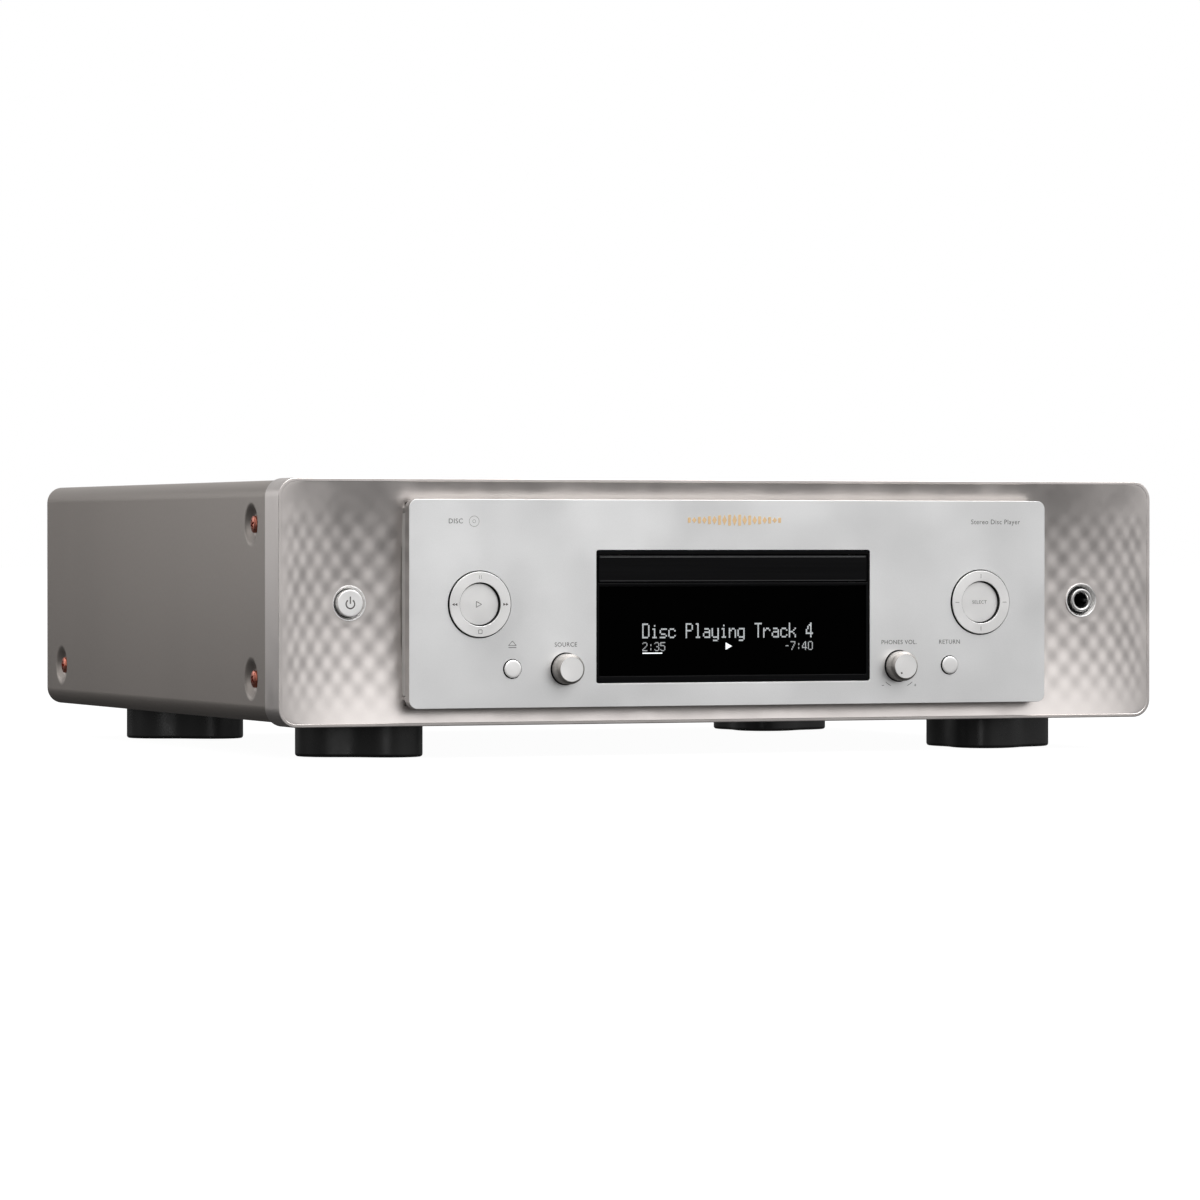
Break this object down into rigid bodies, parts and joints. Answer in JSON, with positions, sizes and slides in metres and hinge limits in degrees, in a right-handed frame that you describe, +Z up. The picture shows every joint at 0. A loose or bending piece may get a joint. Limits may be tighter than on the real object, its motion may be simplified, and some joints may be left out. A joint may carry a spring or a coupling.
{
  "type": "compact disc player",
  "caption": "Full-width hi-fi disc player: dished silver front with raised centre plate, motorised tray, display, rocking rings, two knobs and three-lobed feet.",
  "frame": {"origin": "middle of the base: centre of the overall box in X and Y, on the plane of the feet", "axes": "+X to the right seen from the front, +Y towards the rear panel, +Z up; the front plate faces -Y"},
  "size_m": [0.442, 0.3978, 0.1282],
  "materials": {
    "panel_silver": "satin metallic lacquer on a moulding",
    "plate_silver": "fine blasted, anodised",
    "control_silver": "satin turned",
    "cover_paint": "fine satin warm grey",
    "bare_steel": "zinc plated",
    "bright_steel": "polished",
    "copper": "satin copper plate",
    "black_gloss": "polished black",
    "display_glass": "polished dark tinted acrylic",
    "black_plastic": "fine matte",
    "foot_plastic": "satin black",
    "grey_plastic": "satin moulded",
    "rubber": "matte",
    "clear_plastic": "frosted clear",
    "circuit_board": "solder resist with parts",
    "winding": "enamelled copper wire under tape",
    "brass": "plated"
  },
  "bodies": {
    "chassis": {"front_panel": "panel_silver", "front_plate": "plate_silver", "light_guide_left": "clear_plastic", "light_guide_right": "clear_plastic", "window_frame": "black_gloss", "display_glass": "display_glass", "display_module": "black_plastic", "control_board": "circuit_board", "source_encoder": "bare_steel", "level_control": "bare_steel", "headphone_jack": "bright_steel", "loading_motor": "bare_steel", "drive_belt": "rubber", "loader_frame": "black_plastic", "clamp_bridge": "bare_steel", "top_cover": "cover_paint", "bottom_chassis": "bare_steel", "screw_left_front_upper": "copper", "screw_left_front_lower": "copper", "screw_left_rear_lower": "copper", "screw_right_front_upper": "copper", "screw_right_front_lower": "copper", "screw_right_rear_lower": "copper", "foot_front_left": "foot_plastic", "foot_rear_left": "foot_plastic", "foot_front_right": "foot_plastic", "foot_rear_right": "foot_plastic", "rear_panel": "cover_paint", "mains_inlet": "black_plastic", "network_socket": "bare_steel", "usb_socket": "bare_steel", "digital_output": "black_plastic", "analogue_output": "brass", "transformer": "winding", "power_board": "circuit_board", "audio_board": "circuit_board"},
    "tray": {"disc_tray": "grey_plastic", "tray_door": "black_gloss"},
    "tray_gear": {"tray_gear": "grey_plastic"},
    "motor_pulley": {"motor_pulley": "brass"},
    "clamp_puck": {"clamp_puck": "black_plastic"},
    "traverse": {"traverse_chassis": "bare_steel", "guide_rod_left": "bright_steel", "guide_rod_right": "bright_steel", "sled_motor": "bare_steel", "spindle_motor": "bare_steel"},
    "turntable": {"turntable": "black_plastic"},
    "laser_sled": {"laser_sled": "black_plastic"},
    "lead_screw": {"lead_screw": "bright_steel"},
    "power_button": {"power_button": "control_silver"},
    "eject_button": {"eject_button": "control_silver"},
    "return_button": {"return_button": "control_silver"},
    "play_button": {"play_button": "control_silver"},
    "enter_button": {"enter_button": "control_silver"},
    "transport_spring_frame": {"transport_spring_frame": "bare_steel"},
    "transport_ring": {"transport_ring": "control_silver"},
    "cursor_spring_frame": {"cursor_spring_frame": "bare_steel"},
    "cursor_ring": {"cursor_ring": "control_silver"},
    "source_knob": {"source_knob": "control_silver"},
    "level_knob": {"level_knob": "control_silver"}
  },
  "joints": [
    {"name": "tray_slide", "type": "slide", "parent": "chassis", "child": "tray", "axis": [0, -1, 0], "range_m": [0, 0.15]},
    {"name": "tray_gear_spin", "type": "hinge", "parent": "chassis", "child": "tray_gear", "pos_m": [-0.0515, -0.15515, 0.078], "axis": [0, 0, 1], "range_deg": [0, 955]},
    {"name": "motor_pulley_spin", "type": "hinge", "parent": "chassis", "child": "motor_pulley", "pos_m": [-0.014, -0.15615, 0.0758], "axis": [0, 0, 1], "range_deg": [0, 3190]},
    {"name": "puck_spin", "type": "hinge", "parent": "chassis", "child": "clamp_puck", "pos_m": [0, -0.10415, 0.096], "axis": [0, 0, 1], "continuous": true},
    {"name": "traverse_lift", "type": "hinge", "parent": "chassis", "child": "traverse", "pos_m": [0, 0.00785, 0.07], "axis": [-1, 0, 0], "range_deg": [0, 4]},
    {"name": "turntable_spin", "type": "hinge", "parent": "traverse", "child": "turntable", "pos_m": [0, -0.10513, 0.08014], "axis": [0, -0.0698, 0.9976], "continuous": true},
    {"name": "sled_slide", "type": "slide", "parent": "traverse", "child": "laser_sled", "axis": [0, 0.9976, 0.0698], "range_m": [0, 0.035]},
    {"name": "lead_screw_spin", "type": "hinge", "parent": "traverse", "child": "lead_screw", "pos_m": [-0.012, -0.05442, 0.07166], "axis": [0, 0.9976, 0.0698], "range_deg": [0, 4210]},
    {"name": "power_press", "type": "slide", "parent": "chassis", "child": "power_button", "axis": [0, 1, 0], "range_m": [0, 0.0015], "stiffness_N_per_m": 400},
    {"name": "eject_press", "type": "slide", "parent": "chassis", "child": "eject_button", "axis": [0, 1, 0], "range_m": [0, 0.001], "stiffness_N_per_m": 400},
    {"name": "return_press", "type": "slide", "parent": "chassis", "child": "return_button", "axis": [0, 1, 0], "range_m": [0, 0.001], "stiffness_N_per_m": 400},
    {"name": "play_press", "type": "slide", "parent": "chassis", "child": "play_button", "axis": [0, 1, 0], "range_m": [0, 0.001], "stiffness_N_per_m": 400},
    {"name": "enter_press", "type": "slide", "parent": "chassis", "child": "enter_button", "axis": [0, 1, 0], "range_m": [0, 0.001], "stiffness_N_per_m": 400},
    {"name": "transport_rock_vertical", "type": "hinge", "parent": "chassis", "child": "transport_spring_frame", "pos_m": [-0.1268, -0.18465, 0.0707], "axis": [1, 0, 0], "range_deg": [-1.5, 1.5], "stiffness_Nm_per_rad": 0.6},
    {"name": "transport_rock_sideways", "type": "hinge", "parent": "transport_spring_frame", "child": "transport_ring", "pos_m": [-0.1268, -0.18465, 0.0707], "axis": [0, 0, 1], "range_deg": [-1.5, 1.5], "stiffness_Nm_per_rad": 0.6},
    {"name": "cursor_rock_vertical", "type": "hinge", "parent": "chassis", "child": "cursor_spring_frame", "pos_m": [0.1268, -0.18465, 0.0707], "axis": [1, 0, 0], "range_deg": [-1.5, 1.5], "stiffness_Nm_per_rad": 0.6},
    {"name": "cursor_rock_sideways", "type": "hinge", "parent": "cursor_spring_frame", "child": "cursor_ring", "pos_m": [0.1268, -0.18465, 0.0707], "axis": [0, 0, 1], "range_deg": [-1.5, 1.5], "stiffness_Nm_per_rad": 0.6},
    {"name": "source_turn", "type": "hinge", "parent": "chassis", "child": "source_knob", "pos_m": [-0.08445, -0.1846, 0.0409], "axis": [0, 1, 0], "continuous": true},
    {"name": "level_turn", "type": "hinge", "parent": "chassis", "child": "level_knob", "pos_m": [0.08445, -0.1846, 0.0409], "axis": [0, 1, 0], "range_deg": [0, 300]}
  ],
  "couplings": [
    {"joint": "tray_gear_spin", "follows": "tray_slide", "rad_per_m": 111.11},
    {"joint": "motor_pulley_spin", "follows": "tray_slide", "rad_per_m": 370.85},
    {"joint": "lead_screw_spin", "follows": "sled_slide", "rad_per_m": 2094.4}
  ]
}
